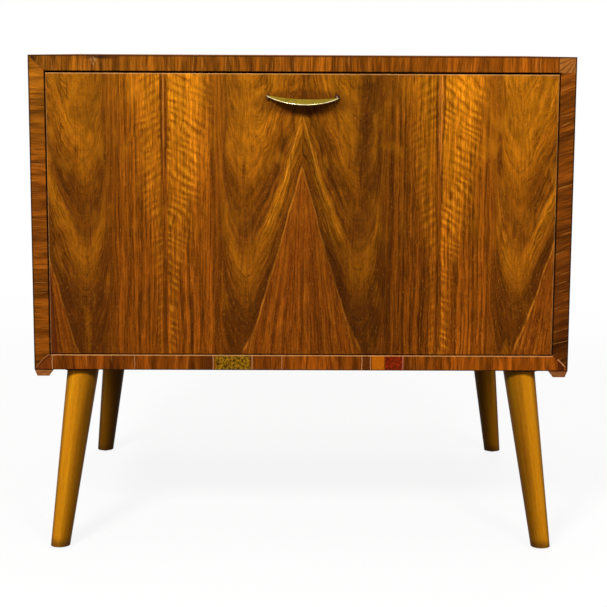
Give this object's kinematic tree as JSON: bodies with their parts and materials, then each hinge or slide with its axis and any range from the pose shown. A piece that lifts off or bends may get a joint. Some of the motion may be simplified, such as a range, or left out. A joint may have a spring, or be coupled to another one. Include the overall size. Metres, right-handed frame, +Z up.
{
  "type": "cellarette",
  "caption": "Walnut fall-front drinks cabinet on splayed tapered legs, its pivoted flap held level by sliding rod stays, with a bow pull, upright dividers and a glass shelf.",
  "frame": {"origin": "bottom centre of the overall box: on the floor, midway between the sides and midway between the frontmost point of the pull and the rearmost point of the back feet", "axes": "+X to the right seen from the front, +Y to the back, +Z up; the flap faces -Y"},
  "size_m": [0.7, 0.5412, 0.646],
  "materials": {
    "walnut_carcass": "satin lacquered walnut veneer on the outside and inside faces of the boards",
    "walnut_band": "satin lacquered cross-banded walnut edge",
    "walnut_flap": "satin lacquered book-matched figured walnut veneer",
    "walnut_lining": "satin lacquered straight-grained walnut",
    "core_board": "bare laminated core board",
    "beech_leg": "satin lacquered golden stained beech",
    "walnut_runner": "satin lacquered walnut",
    "pale_ply": "thin lacquered birch plywood",
    "shelf_glass": "clear float glass with ground edges",
    "aged_brass": "worn and tarnished brass",
    "bright_steel": "bright plated steel",
    "plain_steel": "blackened steel, gone dull",
    "catch_plastic": "brown moulded plastic",
    "ferrite": "dark ferrite magnet"
  },
  "bodies": {
    "carcass": {"back_panel": "pale_ply", "back_screws": "plain_steel", "band_bottom": "walnut_band", "band_left": "walnut_band", "band_right": "walnut_band", "band_top": "walnut_band", "bottom_panel": "walnut_carcass", "catch_case": "catch_plastic", "catch_magnet": "ferrite", "catch_poles": "bright_steel", "catch_screws": "plain_steel", "corner_splines": "pale_ply", "foot_glides": "bright_steel", "glass_shelf": "shelf_glass", "hanger_bolts": "plain_steel", "left_divider": "pale_ply", "left_runner": "walnut_runner", "left_side": "walnut_carcass", "leg_back_left": "beech_leg", "leg_back_right": "beech_leg", "leg_front_left": "beech_leg", "leg_front_right": "beech_leg", "leg_plate_screws": "plain_steel", "leg_plates": "plain_steel", "pivot_socket_left": "aged_brass", "pivot_socket_right": "aged_brass", "pivot_socket_screws": "plain_steel", "pivot_washers": "aged_brass", "right_divider": "pale_ply", "right_runner": "walnut_runner", "right_side": "walnut_carcass", "runner_screws": "plain_steel", "shelf_studs": "aged_brass", "stay_plate_left": "bright_steel", "stay_plate_right": "bright_steel", "stay_plate_screws": "plain_steel", "top_panel": "walnut_carcass"},
    "flap": {"flap_board": "core_board", "flap_lipping": "walnut_lining", "flap_veneer": "walnut_flap", "flap_lining": "walnut_lining", "pivot_plate_left": "aged_brass", "pivot_plate_right": "aged_brass", "pivot_plate_screws": "plain_steel", "pull": "aged_brass", "pull_screws": "plain_steel", "strike_plate": "bright_steel", "strike_screws": "plain_steel", "stay_foot_left": "bright_steel", "stay_foot_right": "bright_steel", "stay_foot_screws": "plain_steel", "stay_pins": "bright_steel"},
    "rod_left": {"stay_rod_left": "bright_steel", "stay_stop_left": "bright_steel"},
    "rod_right": {"stay_rod_right": "bright_steel", "stay_stop_right": "bright_steel"},
    "guide_left": {"stay_block_left": "aged_brass"},
    "guide_right": {"stay_block_right": "aged_brass"}
  },
  "joints": [
    {"name": "flap_hinge", "type": "hinge", "parent": "carcass", "child": "flap", "pos_m": [0, -0.24351, 0.274], "axis": [1, 0, 0], "range_deg": [0, 90]},
    {"name": "left_rod_pivot", "type": "hinge", "parent": "flap", "child": "rod_left", "pos_m": [-0.318, -0.22251, 0.47289], "axis": [1, 0, 0], "range_deg": [-45, 0]},
    {"name": "right_rod_pivot", "type": "hinge", "parent": "flap", "child": "rod_right", "pos_m": [0.318, -0.22251, 0.47289], "axis": [1, 0, 0], "range_deg": [-45, 0]},
    {"name": "left_guide_swivel", "type": "hinge", "parent": "carcass", "child": "guide_left", "pos_m": [-0.318, -0.15898, 0.45526], "axis": [1, 0, 0], "range_deg": [0, 45]},
    {"name": "right_guide_swivel", "type": "hinge", "parent": "carcass", "child": "guide_right", "pos_m": [0.318, -0.15898, 0.45526], "axis": [1, 0, 0], "range_deg": [0, 45]}
  ],
  "couplings": [
    {"joint": "left_rod_pivot", "follows": "flap_hinge", "ratio": -0.5},
    {"joint": "right_rod_pivot", "follows": "flap_hinge", "ratio": -0.5},
    {"joint": "left_guide_swivel", "follows": "flap_hinge", "ratio": 0.5},
    {"joint": "right_guide_swivel", "follows": "flap_hinge", "ratio": 0.5}
  ]
}
